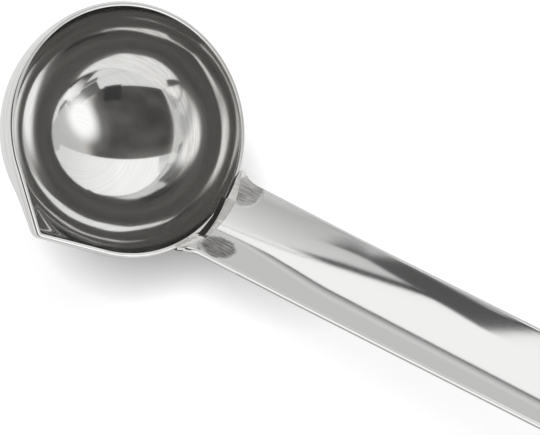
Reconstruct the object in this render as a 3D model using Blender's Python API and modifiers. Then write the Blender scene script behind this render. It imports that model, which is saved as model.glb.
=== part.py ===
"""Soup ladle in stainless steel: a pressed bowl with a side pouring spout, and a wide strip handle.

Lengths are in metres. Each piece is modelled in the ladle's own frame: the origin is the centre of
the bowl's mouth, +X runs towards the handle, +Z out of the mouth, and the spout points to -Y.
An empty then lays the finished ladle down as it lies on a table at z = 0, on the bowl's round
bottom and the corners of the handle's end.
"""

import math

import bmesh
import bpy
from mathutils import Matrix, Vector

MM = 0.001

# Bowl: one sheet pressed to a half sphere, its edge ground flat to make the lip
BOWL_RADIUS = 45.0 * MM
BOWL_WALL = 1.7 * MM
LIP_ROUNDING = 0.35 * MM

# Spout: the round wall drawn out to a point on the side at right angles to the handle
SPOUT_REACH = 6.7 * MM
SPOUT_DEPTH = 27.0 * MM
SPOUT_TIP_RADIUS = 2.6 * MM

# Handle: a strip pressed to a shallow trough, straight from the lip and then arched back
HANDLE_WIDTH = 33.0 * MM
HANDLE_THICKNESS = 1.9 * MM
HANDLE_DISH = 1.4 * MM
HANDLE_RISE = math.radians(50.3)
HANDLE_STRAIGHT = 166.0 * MM
HANDLE_ARCH_LENGTH = 112.0 * MM
HANDLE_ARCH_RADIUS = 150.0 * MM
HANDLE_EDGE_ROUNDING = 0.5 * MM
END_CORNER_RADIUS = 11.0 * MM
ROOT_FLARE = 2.4 * MM
ROOT_FLARE_RADIUS = 12.0 * MM
ROOT_BLEND = 60.0 * MM

# Hanging slot in the arched end
SLOT_WIDTH = 9.0 * MM
SLOT_LENGTH = 24.0 * MM
SLOT_TO_END = 12.0 * MM

# Welds: a run ground flat in a groove on the mouth side, a rounded run beneath
FIT_GAP = 0.3 * MM
SEAM_ON_LIP = 0.95 * MM
SEAM_ON_HANDLE = 2.3 * MM
SEAM_DEPTH = 1.8 * MM
ROOT_WELD_LEG = 3.2 * MM
ROOT_WELD_CROWN = 0.45 * MM

# How far a cutter or a blank runs past what it cuts
OVERRUN = 2.0 * MM

# Stainless steel's grey, and how rough each surface was left
STEEL_GREY = 0.66
POLISHED = 0.10
SATIN = 0.22
GROUND = 0.32

SHARP_ANGLE = math.radians(35)
ROUNDED_EDGE_ANGLE = math.radians(50)
ROUNDING_SEGMENTS = 2


def clear_scene():
    for item in list(bpy.data.objects):
        bpy.data.objects.remove(item, do_unlink=True)


def new_collection(name):
    group = bpy.data.collections.new(name)
    bpy.context.scene.collection.children.link(group)
    return group


def steel(name, roughness):
    """Bare stainless steel, told apart by how far each surface was polished."""
    material = bpy.data.materials.new(name)
    material.use_nodes = True
    shader = material.node_tree.nodes["Principled BSDF"]
    shader.inputs["Base Color"].default_value = (STEEL_GREY, STEEL_GREY, STEEL_GREY, 1.0)
    shader.inputs["Metallic"].default_value = 1.0
    shader.inputs["Roughness"].default_value = roughness
    return material


def add_object(name, bm, group, material=None):
    mesh = bpy.data.meshes.new(name)
    bm.to_mesh(mesh)
    bm.free()
    item = bpy.data.objects.new(name, mesh)
    group.objects.link(item)
    if material:
        mesh.materials.append(material)
        mesh.shade_smooth()
        mesh.set_sharp_from_angle(angle=SHARP_ANGLE)
    else:
        item.display_type = "WIRE"
        item.hide_render = True
    return item


def draped_grid(columns, rows, place):
    """Lay a flat grid over a surface: place(column, row) gives each corner its position."""
    bm = bmesh.new()
    bmesh.ops.create_grid(bm, x_segments=columns, y_segments=rows, size=1.0)
    for vert in bm.verts:
        column = round((vert.co.x + 1.0) / 2.0 * columns)
        row = round((vert.co.y + 1.0) / 2.0 * rows)
        vert.co = place(column, row)
    bmesh.ops.remove_doubles(bm, verts=bm.verts, dist=0.001 * MM)
    return bm


def cut(item, cutter):
    modifier = item.modifiers.new(cutter.name, "BOOLEAN")
    modifier.operation = "DIFFERENCE"
    modifier.solver = "EXACT"
    modifier.object = cutter


def thicken(item, thickness):
    """Give a surface its thickness on the side its normals point away from."""
    wall = item.modifiers.new("wall", "SOLIDIFY")
    wall.thickness = thickness
    wall.offset = -1.0
    wall.use_even_offset = True
    wall.use_quality_normals = True


def round_edges(item, width):
    edge = item.modifiers.new("rounding", "BEVEL")
    edge.width = width
    edge.segments = ROUNDING_SEGMENTS
    edge.limit_method = "ANGLE"
    edge.angle_limit = ROUNDED_EDGE_ANGLE


# Bowl

BOWL_COLUMNS = 80
BOWL_RINGS = 16
COLUMN_CROWDING = 1.6


def spout_reach_at(depth):
    """How far the spout stands out of the round wall, fading to nothing at its lower end."""
    if depth >= SPOUT_DEPTH:
        return 0.0
    return SPOUT_REACH * (1.0 - (depth / SPOUT_DEPTH) ** 2) ** 2


def outline_radius(angle, round_radius, reach):
    """Radius of a level outline at an angle from the spout: flats tangent to the round and the tip."""
    angle = abs(angle)
    tip_radius = min(SPOUT_TIP_RADIUS, round_radius / 2.0)
    tip_centre = round_radius + reach - tip_radius
    if reach <= 0.0:
        return round_radius
    flat_angle = math.acos((round_radius - tip_radius) / tip_centre)
    tip_angle = math.atan2(tip_radius * math.sin(flat_angle), tip_centre + tip_radius * math.cos(flat_angle))
    if angle >= flat_angle:
        return round_radius
    if angle >= tip_angle:
        return round_radius / math.cos(flat_angle - angle)
    across = tip_centre * math.sin(angle)
    return tip_centre * math.cos(angle) + math.sqrt(tip_radius ** 2 - across ** 2)


def bowl_skin():
    """Outer face of the bowl, with one ring above the mouth that the lip is later ground from."""

    def place(column, row):
        side = 2.0 * column / BOWL_COLUMNS - 1.0
        angle = math.copysign(math.pi * abs(side) ** COLUMN_CROWDING, side)
        depth_angle = max(row - 1, 0) / (BOWL_RINGS - 1) * math.pi / 2.0
        depth = BOWL_RADIUS * math.sin(depth_angle)
        radius = outline_radius(angle, BOWL_RADIUS * math.cos(depth_angle), spout_reach_at(depth))
        height = OVERRUN if row == 0 else -depth
        return Vector((radius * math.sin(angle), -radius * math.cos(angle), height))

    bm = draped_grid(BOWL_COLUMNS, BOWL_RINGS, place)
    face = max(bm.faces, key=lambda one: one.calc_center_median().x)
    if face.normal.x < 0.0:
        bmesh.ops.reverse_faces(bm, faces=bm.faces)
    return bm


def make_bowl(parts, cutters):
    bowl = add_object("bowl", bowl_skin(), parts, steel("polished_bowl_steel", POLISHED))
    thicken(bowl, BOWL_WALL)

    bm = bmesh.new()
    block = 2.0 * (BOWL_RADIUS + SPOUT_REACH + OVERRUN)
    bmesh.ops.create_cube(bm, size=block)
    bmesh.ops.translate(bm, verts=bm.verts, vec=(0.0, 0.0, block / 2.0))
    cut(bowl, add_object("lip_grinding", bm, cutters))
    round_edges(bowl, LIP_ROUNDING)
    return bowl


def make_bowl_clearance(cutters):
    """The bowl as a full half ball, grown by the fitting gap, that trims whatever is set against it."""
    bm = bmesh.new()
    bmesh.ops.create_uvsphere(bm, u_segments=96, v_segments=48, radius=BOWL_RADIUS + FIT_GAP)
    everything = bm.verts[:] + bm.edges[:] + bm.faces[:]
    bmesh.ops.bisect_plane(
        bm, geom=everything, plane_co=(0.0, 0.0, FIT_GAP), plane_no=(0.0, 0.0, 1.0), clear_outer=True)
    open_edges = [edge for edge in bm.edges if edge.is_boundary]
    bmesh.ops.holes_fill(bm, edges=open_edges)
    bmesh.ops.recalc_face_normals(bm, faces=bm.faces)
    return add_object("bowl_clearance", bm, cutters)


# Handle

HANDLE_LENGTH = HANDLE_STRAIGHT + HANDLE_ARCH_LENGTH
HALF_WIDTH = HANDLE_WIDTH / 2.0
ROOT_HALF_WIDTH = HALF_WIDTH + ROOT_FLARE
FLARE_LENGTH = math.sqrt(ROOT_FLARE_RADIUS ** 2 - (ROOT_FLARE_RADIUS - ROOT_FLARE) ** 2)
ROOT_SAGITTA = BOWL_RADIUS - math.sqrt(BOWL_RADIUS ** 2 - ROOT_HALF_WIDTH ** 2)
ROOT_INSIDE = ROOT_SAGITTA / math.cos(HANDLE_RISE) + HANDLE_THICKNESS + OVERRUN
STRIP_COLUMNS = 10


def steps(first, last, count):
    return [first + (last - first) * number / count for number in range(count)]


def handle_stations():
    """Distances along the strip, closer together where it flares, arches and rounds off."""
    corner_start = HANDLE_LENGTH - END_CORNER_RADIUS
    stations = steps(-ROOT_INSIDE, 0.0, 3)
    stations += steps(0.0, FLARE_LENGTH, 6)
    stations += steps(FLARE_LENGTH, ROOT_BLEND, 7)
    stations += steps(ROOT_BLEND, HANDLE_STRAIGHT, 4)
    stations += steps(HANDLE_STRAIGHT, corner_start, 14)
    turns = steps(0.0, math.pi / 2.0, 6) + [math.pi / 2.0]
    return stations + [corner_start + END_CORNER_RADIUS * math.sin(turn) for turn in turns]


def half_width_at(station):
    """Half the strip's width: flared into the bowl, parallel, then rounded at the end's corners."""
    if station <= 0.0:
        return ROOT_HALF_WIDTH
    if station < FLARE_LENGTH:
        across = FLARE_LENGTH - station
        return HALF_WIDTH + ROOT_FLARE_RADIUS - math.sqrt(ROOT_FLARE_RADIUS ** 2 - across ** 2)
    past_corner = station - (HANDLE_LENGTH - END_CORNER_RADIUS)
    if past_corner <= 0.0:
        return HALF_WIDTH
    rounded = math.sqrt(max(END_CORNER_RADIUS ** 2 - past_corner ** 2, 0.0))
    return HALF_WIDTH - END_CORNER_RADIUS + rounded


def dish_at(station, across):
    """How far the strip's edges stand above its middle. The root follows the curve of the bowl."""
    round_root = math.sin(HANDLE_RISE) * (BOWL_RADIUS - math.sqrt(BOWL_RADIUS ** 2 - across ** 2))
    plain = HANDLE_DISH * (across / HALF_WIDTH) ** 2
    share = min(max(station / ROOT_BLEND, 0.0), 1.0)
    share = share * share * (3.0 - 2.0 * share)
    return round_root + (plain - round_root) * share


def path_at(station):
    """Position and direction of the strip's middle line, as x, z and the angle of rise."""
    straight = min(station, HANDLE_STRAIGHT)
    x = BOWL_RADIUS + straight * math.cos(HANDLE_RISE)
    z = straight * math.sin(HANDLE_RISE)
    if station <= HANDLE_STRAIGHT:
        return x, z, HANDLE_RISE
    rise = HANDLE_RISE - (station - HANDLE_STRAIGHT) / HANDLE_ARCH_RADIUS
    x += HANDLE_ARCH_RADIUS * (math.sin(HANDLE_RISE) - math.sin(rise))
    z += HANDLE_ARCH_RADIUS * (math.cos(rise) - math.cos(HANDLE_RISE))
    return x, z, rise


def strip_point(station, across, lift):
    """A point of the strip, lift above its upper face, on the side of the bowl's mouth."""
    x, z, rise = path_at(station)
    lift += dish_at(station, across)
    return Vector((x - lift * math.sin(rise), across, z + lift * math.cos(rise)))


def strip_skin(clearance):
    """Upper face of the strip, grown on every side by a clearance."""
    stations = handle_stations()

    def place(column, row):
        station = stations[row]
        half_width = half_width_at(station) + clearance
        across = half_width * (2.0 * column / STRIP_COLUMNS - 1.0)
        return strip_point(station, across, clearance)

    bm = draped_grid(STRIP_COLUMNS, len(stations) - 1, place)
    bm.faces.ensure_lookup_table()
    bm.normal_update()
    if bm.faces[0].normal.z < 0.0:
        bmesh.ops.reverse_faces(bm, faces=bm.faces)
    return bm


def make_slot_cutter(cutters):
    """A round-ended slot, square to the strip where the slot is."""
    bm = bmesh.new()
    radius = SLOT_WIDTH / 2.0
    depth = 2.0 * (HANDLE_THICKNESS + HANDLE_DISH + OVERRUN)
    bmesh.ops.create_cone(bm, cap_ends=True, segments=32, radius1=radius, radius2=radius, depth=depth)
    stretch = SLOT_LENGTH / 2.0 - radius
    for vert in bm.verts:
        vert.co.x += math.copysign(stretch, vert.co.x)
    cutter = add_object("slot_cutter", bm, cutters)
    x, z, rise = path_at(HANDLE_LENGTH - SLOT_TO_END - SLOT_LENGTH / 2.0)
    cutter.matrix_world = Matrix.Translation((x, 0.0, z)) @ Matrix.Rotation(-rise, 4, "Y")
    return cutter


def make_handle(parts, cutters, bowl_clearance, weld_groove):
    handle = add_object("handle", strip_skin(0.0), parts, steel("satin_handle_steel", SATIN))
    thicken(handle, HANDLE_THICKNESS)
    round_edges(handle, HANDLE_EDGE_ROUNDING)
    cut(handle, bowl_clearance)
    cut(handle, weld_groove)
    cut(handle, make_slot_cutter(cutters))
    return handle


def make_handle_clearance(cutters):
    clearance = add_object("handle_clearance", strip_skin(FIT_GAP), cutters)
    thicken(clearance, HANDLE_THICKNESS + 2.0 * FIT_GAP)
    return clearance


# Welds

WELD_STEPS = 14


def spun_run(profile, half_width):
    """Carry a section round the bowl's wall, as far to either side as half_width."""
    half_angle = math.asin(half_width / BOWL_RADIUS)
    bm = bmesh.new()
    section = bm.faces.new([bm.verts.new((x, 0.0, z)) for x, z in profile])
    bmesh.ops.rotate(bm, verts=bm.verts, matrix=Matrix.Rotation(-half_angle, 3, "Z"))
    bmesh.ops.spin(
        bm, geom=[section] + section.edges[:] + section.verts[:], angle=2.0 * half_angle,
        steps=WELD_STEPS, axis=(0.0, 0.0, 1.0), cent=(0.0, 0.0, 0.0))
    bmesh.ops.recalc_face_normals(bm, faces=bm.faces)
    return bm


def groove_line():
    """Ends of the slope that the strip's end is ground to: low on the bowl's wall, high on its face."""
    low = Vector((BOWL_RADIUS, -SEAM_DEPTH))
    up_the_strip = Vector((math.cos(HANDLE_RISE), math.sin(HANDLE_RISE)))
    high = Vector((BOWL_RADIUS, 0.0)) + SEAM_ON_HANDLE * up_the_strip
    return low, high


def groove_profile():
    """What the slope takes off the strip's end, run past it at both ends."""
    low, high = groove_line()
    along = (high - low).normalized()
    inside_bowl = Vector((BOWL_RADIUS - OVERRUN, 0.0))
    return [low - OVERRUN * along, high + OVERRUN * along, inside_bowl]


def seam_profile():
    """The run that fills the groove, ground flat from the outer half of the lip to the handle's face."""
    low, high = groove_line()
    along = (high - low).normalized()
    clear_of_strip = FIT_GAP * Vector((-along.y, along.x))
    foot = Vector((BOWL_RADIUS - SEAM_ON_LIP, 0.0))
    return [foot, high + clear_of_strip, low + clear_of_strip]


def root_profile():
    """Rounded run beneath: in the corner between the bowl's wall and the strip's under face."""
    slope = math.cos(HANDLE_RISE) / math.sin(HANDLE_RISE)
    start = BOWL_RADIUS + HANDLE_THICKNESS / math.sin(HANDLE_RISE)
    a = 1.0 + slope ** 2
    b = 2.0 * start * slope
    c = start ** 2 - BOWL_RADIUS ** 2
    corner_z = (-b + math.sqrt(b ** 2 - 4.0 * a * c)) / (2.0 * a)
    corner = Vector((start + corner_z * slope, corner_z))
    wall_angle = math.atan2(corner.y, corner.x) - ROOT_WELD_LEG / BOWL_RADIUS
    foot = BOWL_RADIUS * Vector((math.cos(wall_angle), math.sin(wall_angle)))
    head = corner + ROOT_WELD_LEG * Vector((math.cos(HANDLE_RISE), math.sin(HANDLE_RISE)))
    along = (head - foot).normalized()
    crown = (foot + head) / 2.0 + ROOT_WELD_CROWN * Vector((along.y, -along.x))
    inside_wall = corner - Vector((BOWL_WALL, 0.0))
    return [foot, crown, head, inside_wall]


def make_weld(name, profile, parts, clearances):
    run = spun_run(profile, ROOT_HALF_WIDTH - FIT_GAP)
    weld = add_object(name, run, parts, steel(name + "_steel", GROUND))
    for clearance in clearances:
        cut(weld, clearance)
    return weld


# Laying down

def evaluated_points(item):
    graph = bpy.context.evaluated_depsgraph_get()
    evaluated = item.evaluated_get(graph)
    mesh = evaluated.to_mesh()
    points = [item.matrix_world @ vert.co for vert in mesh.vertices]
    evaluated.to_mesh_clear()
    return points


def resting_tilt(handle):
    """The least tilt of the bowl towards the handle at which some point of the handle meets the table."""
    tilts = []
    for point in evaluated_points(handle):
        reach = math.hypot(point.x, point.z)
        if reach > BOWL_RADIUS:
            tilts.append(math.atan2(point.z, point.x) + math.asin(BOWL_RADIUS / reach))
    return min(tilts)


def lay_down(pieces, handle, parts, cutters):
    """Tilt the ladle, its cutters with it, to rest and put the origin under the middle of its box."""
    carrier = bpy.data.objects.new("ladle", None)
    parts.objects.link(carrier)
    bpy.context.view_layer.update()
    tilt = resting_tilt(handle)
    carrier.matrix_world = Matrix.Rotation(tilt, 4, "Y")
    for item in pieces + list(cutters.objects):
        item.parent = carrier
    bpy.context.view_layer.update()
    points = [point for piece in pieces for point in evaluated_points(piece)]
    lowest = Vector([min(point[axis] for point in points) for axis in range(3)])
    highest = Vector([max(point[axis] for point in points) for axis in range(3)])
    shift = Vector((-(lowest.x + highest.x) / 2.0, -(lowest.y + highest.y) / 2.0, -lowest.z))
    carrier.location = shift
    bpy.context.view_layer.update()
    print("tilt of the mouth in degrees: %.3f" % math.degrees(tilt))
    print("centre of the mouth: %.6f %.6f %.6f" % tuple(shift))
    print("size: %.6f %.6f %.6f" % tuple(highest - lowest))


def build_ladle():
    clear_scene()
    parts = new_collection("soup_ladle")
    cutters = new_collection("soup_ladle_cutters")
    bowl_clearance = make_bowl_clearance(cutters)
    handle_clearance = make_handle_clearance(cutters)
    weld_groove = add_object("weld_groove", spun_run(groove_profile(), ROOT_HALF_WIDTH + OVERRUN), cutters)
    bowl = make_bowl(parts, cutters)
    handle = make_handle(parts, cutters, bowl_clearance, weld_groove)
    seam_weld = make_weld("seam_weld", seam_profile(), parts, [bowl_clearance])
    root_weld = make_weld("root_weld", root_profile(), parts, [bowl_clearance, handle_clearance])
    pieces = [bowl, handle, seam_weld, root_weld]
    lay_down(pieces, handle, parts, cutters)


build_ladle()
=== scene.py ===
"""A stainless steel soup ladle, lying on a white table in a small photographic studio.

The ladle is put together in the order it is made in: the pressed bowl, the strip handle, and the
two welds that join them. Each piece is modelled in the ladle's own frame, with the origin at the
centre of the bowl's mouth, +X towards the handle, +Z out of the mouth and the spout at -Y, and is
then laid down on the table, where the CAD model lies.
"""

import math

import bmesh
import bpy
from mathutils import Matrix, Vector, noise


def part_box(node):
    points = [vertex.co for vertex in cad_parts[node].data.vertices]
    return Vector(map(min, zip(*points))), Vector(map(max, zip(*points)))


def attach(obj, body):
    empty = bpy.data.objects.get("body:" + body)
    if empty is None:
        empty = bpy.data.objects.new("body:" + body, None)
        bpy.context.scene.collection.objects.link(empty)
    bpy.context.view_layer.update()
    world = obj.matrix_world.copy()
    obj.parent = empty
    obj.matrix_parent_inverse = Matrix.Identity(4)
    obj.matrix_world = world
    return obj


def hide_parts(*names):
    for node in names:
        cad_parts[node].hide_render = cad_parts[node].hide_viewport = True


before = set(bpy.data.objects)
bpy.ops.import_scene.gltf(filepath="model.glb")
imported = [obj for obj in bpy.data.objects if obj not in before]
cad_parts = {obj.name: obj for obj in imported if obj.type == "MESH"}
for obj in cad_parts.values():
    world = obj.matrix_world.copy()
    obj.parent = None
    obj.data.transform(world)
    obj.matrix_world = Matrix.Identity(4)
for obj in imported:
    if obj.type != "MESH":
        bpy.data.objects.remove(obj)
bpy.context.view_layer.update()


# The bowl: one disc of stainless sheet, pressed to a half sphere. Its wall is drawn out to a
# pouring spout at right angles to the handle, the edge is ground flat to make the lip, and the
# inside is polished on a lathe, which leaves hairlines that run round it.

MM = 0.001
BOWL_RADIUS = 45.0 * MM
BOWL_WALL = 1.7 * MM
BOWL_COLUMNS = 256
BOWL_RINGS = 128

SPOUT_REACH = 6.7 * MM
SPOUT_DEPTH = 27.0 * MM
SPOUT_TIP_RADIUS = 2.6 * MM
# The columns of the bowl crowd towards the spout, by this power of their angle from it. A point that
# stands this close to the axis stays where it is
COLUMN_CROWDING = 1.6
ON_THE_AXIS = 0.01 * MM

# Grinding levels all of the edge that stands within this depth of the mouth
GROUND_DEPTH = 0.3 * MM
LIP_OUTER_ROUNDING = 0.55 * MM
LIP_INNER_CHAMFER = 0.3 * MM
# How far a face's normal points upwards at least on the lip, and at most on the walls
LIP_UPWARDS = 0.95
WALL_UPWARDS = 0.6

# How the ladle lies: its mouth leans towards the handle, which rests on its end
TILT = math.radians(44.384)
bowl_low, bowl_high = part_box("bowl")
MOUTH_CENTRE = Vector((bowl_low.x + BOWL_RADIUS, bowl_high.y - BOWL_RADIUS, BOWL_RADIUS))
LYING = Matrix.Translation(MOUTH_CENTRE) @ Matrix.Rotation(TILT, 4, "Y")
SMOOTH_UP_TO = math.radians(32)


def start_clean():
    """Leave edit mode and select nothing, so that the next operator acts on its own piece alone."""
    if bpy.context.object and bpy.context.object.mode != "OBJECT":
        bpy.ops.object.mode_set(mode="OBJECT")
    bpy.ops.object.select_all(action="DESELECT")


def take_up(piece):
    """Select one piece and nothing else."""
    start_clean()
    piece.select_set(True)
    bpy.context.view_layer.objects.active = piece


def edit(piece):
    take_up(piece)
    bpy.ops.object.mode_set(mode="EDIT")


def apply_modifier(piece, modifier):
    take_up(piece)
    bpy.ops.object.modifier_apply(modifier=modifier.name)


def bevel_edges(piece, wanted, offset, segments):
    """In edit mode, round off the edges for which wanted(edge) is true."""
    bpy.ops.mesh.select_mode(type="EDGE")
    bpy.ops.mesh.select_all(action="DESELECT")
    bm = bmesh.from_edit_mesh(piece.data)
    for edge in bm.edges:
        if wanted(edge):
            edge.select = True
    bmesh.update_edit_mesh(piece.data)
    bpy.ops.mesh.bevel(offset=offset, segments=segments, affect="EDGES", clamp_overlap=False)


def thicken(piece, thickness, even=True):
    """Give a sheet its thickness, away from its normals. Even keeps it the same at sharp bends."""
    wall = piece.modifiers.new("wall", "SOLIDIFY")
    wall.thickness = thickness
    wall.offset = -1.0
    wall.use_even_offset = even
    wall.use_quality_normals = even
    apply_modifier(piece, wall)


def lay_down(piece, node):
    """Shade the finished piece, lay it down and have it stand for its CAD node."""
    take_up(piece)
    bpy.ops.object.shade_smooth_by_angle(angle=SMOOTH_UP_TO)
    piece.data.transform(LYING)
    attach(piece, "root")
    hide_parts(node)


def spout_reach_at(depth):
    """How far the spout stands out of the round wall, fading to nothing at its lower end."""
    if depth >= SPOUT_DEPTH:
        return 0.0
    return SPOUT_REACH * (1.0 - (depth / SPOUT_DEPTH) ** 2) ** 2


def outline_radius(angle, round_radius, reach):
    """Radius of a level outline at an angle from the spout: flats tangent to the round and the tip."""
    if reach <= 0.0:
        return round_radius
    angle = abs(angle)
    tip_radius = min(SPOUT_TIP_RADIUS, round_radius / 2.0)
    tip_centre = round_radius + reach - tip_radius
    flat_angle = math.acos((round_radius - tip_radius) / tip_centre)
    tip_angle = math.atan2(
        tip_radius * math.sin(flat_angle), tip_centre + tip_radius * math.cos(flat_angle))
    if angle >= flat_angle:
        return round_radius
    if angle >= tip_angle:
        return round_radius / math.cos(flat_angle - angle)
    across = tip_centre * math.sin(angle)
    return tip_centre * math.cos(angle) + math.sqrt(tip_radius ** 2 - across ** 2)


start_clean()
bpy.ops.mesh.primitive_uv_sphere_add(
    segments=BOWL_COLUMNS, ring_count=BOWL_RINGS, radius=BOWL_RADIUS)
bowl = bpy.context.active_object
bowl.name = "pressed_bowl"
edit(bowl)
bpy.ops.mesh.select_all(action="SELECT")
bpy.ops.mesh.bisect(plane_co=(0.0, 0.0, 0.0), plane_no=(0.0, 0.0, 1.0), clear_outer=True)
bpy.ops.object.mode_set(mode="OBJECT")

# The spout is pulled out of the wall
for vert in bowl.data.vertices:
    level = math.hypot(vert.co.x, vert.co.y)
    if level < ON_THE_AXIS:
        continue
    side = math.atan2(vert.co.x, -vert.co.y) / math.pi
    angle = math.copysign(math.pi * abs(side) ** COLUMN_CROWDING, side)
    radius = outline_radius(angle, level, spout_reach_at(-vert.co.z))
    vert.co.x = radius * math.sin(angle)
    vert.co.y = -radius * math.cos(angle)

# Pressing leaves the wall a few hundredths of a millimetre out of true, in long waves that run round
# it. They are strongest high on the wall, where they break the lines of what it reflects, and end
# below the lip
RIPPLE_HEIGHT = 0.06 * MM
RIPPLE_PITCH = 7.0 * MM
RIPPLE_LENGTH = 32.0 * MM
RIPPLE_END = 2.0 * MM
for vert in bowl.data.vertices:
    outward = vert.co.normalized()
    up_the_wall = math.acos(min(max(-outward.z, -1.0), 1.0)) * BOWL_RADIUS
    share = min(math.hypot(vert.co.x, vert.co.y) / BOWL_RADIUS, 1.0)
    below_lip = min(1.0, -vert.co.z / RIPPLE_END)
    wave = noise.noise(Vector(
        (vert.co.x / RIPPLE_LENGTH, vert.co.y / RIPPLE_LENGTH, up_the_wall / RIPPLE_PITCH)))
    vert.co += outward * RIPPLE_HEIGHT * share ** 3 * below_lip * wave
thicken(bowl, BOWL_WALL)

for vert in bowl.data.vertices:
    if vert.co.z > -GROUND_DEPTH:
        vert.co.z = 0.0


def lip_edge(edge, outer):
    """True for the edges between the flat lip and the bowl's outer wall, or its inner wall."""
    if len(edge.link_faces) != 2:
        return False
    lip, wall = sorted(edge.link_faces, key=lambda face: -face.normal.z)
    if lip.normal.z < LIP_UPWARDS or wall.normal.z > WALL_UPWARDS:
        return False
    middle = (edge.verts[0].co + edge.verts[1].co) / 2.0
    outward = wall.normal.x * middle.x + wall.normal.y * middle.y > 0.0
    return outward == outer


edit(bowl)
bevel_edges(bowl, lambda edge: lip_edge(edge, True), LIP_OUTER_ROUNDING, 4)
bevel_edges(bowl, lambda edge: lip_edge(edge, False), LIP_INNER_CHAMFER, 2)


def linear(hex_colour):
    """An sRGB colour such as "#E0DEDA" as linear red, green, blue and full alpha."""
    colour = []
    for place in (1, 3, 5):
        part = int(hex_colour[place:place + 2], 16) / 255.0
        colour.append(part / 12.92 if part <= 0.04045 else ((part + 0.055) / 1.055) ** 2.4)
    return (*colour, 1.0)


def add_node(tree, kind, inputs=None, steps=(), **settings):
    """Add a node with its settings, and fill its inputs with values or other nodes' outputs.

    A colour ramp also takes steps, from two upwards, each a place and a linear colour.
    """
    made = tree.nodes.new(kind)
    for name, value in settings.items():
        setattr(made, name, value)
    for name, value in (inputs or {}).items():
        if isinstance(value, bpy.types.NodeSocket):
            tree.links.new(value, made.inputs[name])
        else:
            made.inputs[name].default_value = value
    for number, (place, colour) in enumerate(steps):
        elements = made.color_ramp.elements
        step = elements[number] if number < 2 else elements.new(place)
        step.position = place
        step.color = colour
    return made


def new_steel(name, hex_colour, roughness):
    """Bare stainless steel: a metal of that colour and roughness, ready for its surface pattern."""
    material = bpy.data.materials.new(name)
    material.use_nodes = True
    shader = material.node_tree.nodes["Principled BSDF"]
    shader.inputs["Base Color"].default_value = linear(hex_colour)
    shader.inputs["Metallic"].default_value = 1.0
    shader.inputs["Roughness"].default_value = roughness
    return material, material.node_tree, shader


def rings(tree, around, meridian, spacing, detail, roughness):
    """Noise drawn out into rings round the bowl's axis, so far apart on its wall."""
    up_the_wall = add_node(
        tree, "ShaderNodeMath", {0: meridian.outputs[0], 1: BOWL_RADIUS / spacing},
        operation="MULTIPLY")
    lift = add_node(tree, "ShaderNodeCombineXYZ", {2: up_the_wall.outputs[0]})
    place = add_node(
        tree, "ShaderNodeVectorMath", {0: around.outputs[0], 1: lift.outputs[0]}, operation="ADD")
    return add_node(
        tree, "ShaderNodeTexNoise",
        {"Vector": place.outputs[0], "Scale": 1.0, "Detail": detail, "Roughness": roughness})


# Stainless sheet, lathe polished: a mirror that is a little soft, with hairlines round the axis.
# The hairlines of 320 grit are 0.05 mm apart, and are drawn 0.35 mm apart so that they show
POLISHED_COLOUR = "#EFEFEE"
HAIRLINE_SPACING = 0.35 * MM
HAIRLINE_RELIEF = 0.002 * MM
# How often a ring changes on its way round, in a metre
RING_CHANGES = 30.0
bowl_steel, tree, shader = new_steel("lathe_polished_stainless", POLISHED_COLOUR, 0.065)
place = add_node(tree, "ShaderNodeTexCoord")
turned = add_node(
    tree, "ShaderNodeMapping",
    {0: place.outputs["Object"], "Location": MOUTH_CENTRE, "Rotation": (0.0, TILT, 0.0)},
    vector_type="TEXTURE")
split = add_node(tree, "ShaderNodeSeparateXYZ", {0: turned.outputs[0]})
flat = add_node(tree, "ShaderNodeCombineXYZ", {0: split.outputs[0], 1: split.outputs[1]})
level = add_node(tree, "ShaderNodeVectorMath", {0: flat.outputs[0]}, operation="LENGTH")
depth = add_node(tree, "ShaderNodeMath", {0: split.outputs[2], 1: -1.0}, operation="MULTIPLY")
meridian = add_node(
    tree, "ShaderNodeMath", {0: level.outputs["Value"], 1: depth.outputs[0]}, operation="ARCTAN2")
around = add_node(
    tree, "ShaderNodeVectorMath", {0: flat.outputs[0], 1: (RING_CHANGES, RING_CHANGES, 0.0)},
    operation="MULTIPLY")
hairlines = rings(tree, around, meridian, HAIRLINE_SPACING, 4.0, 0.6)
relief = add_node(
    tree, "ShaderNodeBump",
    {"Height": hairlines.outputs[0], "Distance": HAIRLINE_RELIEF, "Strength": 1.0})
tree.links.new(relief.outputs[0], shader.inputs["Normal"])
line_tone = add_node(
    tree, "ShaderNodeValToRGB", {0: hairlines.outputs[0]},
    steps=((0.34, linear("#EAEAE9")), (0.6, linear("#F2F2F1"))))

# Broad marks of the press, 2.5 mm apart and warmer than the rest, which only the steep wall keeps.
# The wall is steep from 43 to 60 degrees up from the bowl's bottom
MARK_SPACING = 2.5 * MM
MARK_STRENGTH = 0.6
STEEP_START, STEEP_END = 0.75, 1.05
# The noise makes a mark from the first of these values on, and a full one from the second
MARK_START, MARK_FULL = 0.48, 0.72
marks = rings(tree, around, meridian, MARK_SPACING, 6.0, 0.7)
marked = add_node(
    tree, "ShaderNodeMapRange",
    {"Value": marks.outputs[0], "From Min": MARK_START, "From Max": MARK_FULL,
     "To Min": 0.0, "To Max": 1.0})
steep = add_node(
    tree, "ShaderNodeMapRange",
    {"Value": meridian.outputs[0], "From Min": STEEP_START, "From Max": STEEP_END,
     "To Min": 0.0, "To Max": MARK_STRENGTH},
    interpolation_type="SMOOTHSTEP")
mark_share = add_node(
    tree, "ShaderNodeMath", {0: marked.outputs[0], 1: steep.outputs[0]}, operation="MULTIPLY")
marked_tone = add_node(
    tree, "ShaderNodeMix",
    {0: mark_share.outputs[0], 6: line_tone.outputs[0], 7: linear("#B9AFA8")}, data_type="RGBA")
tree.links.new(marked_tone.outputs[2], shader.inputs["Base Color"])

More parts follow.
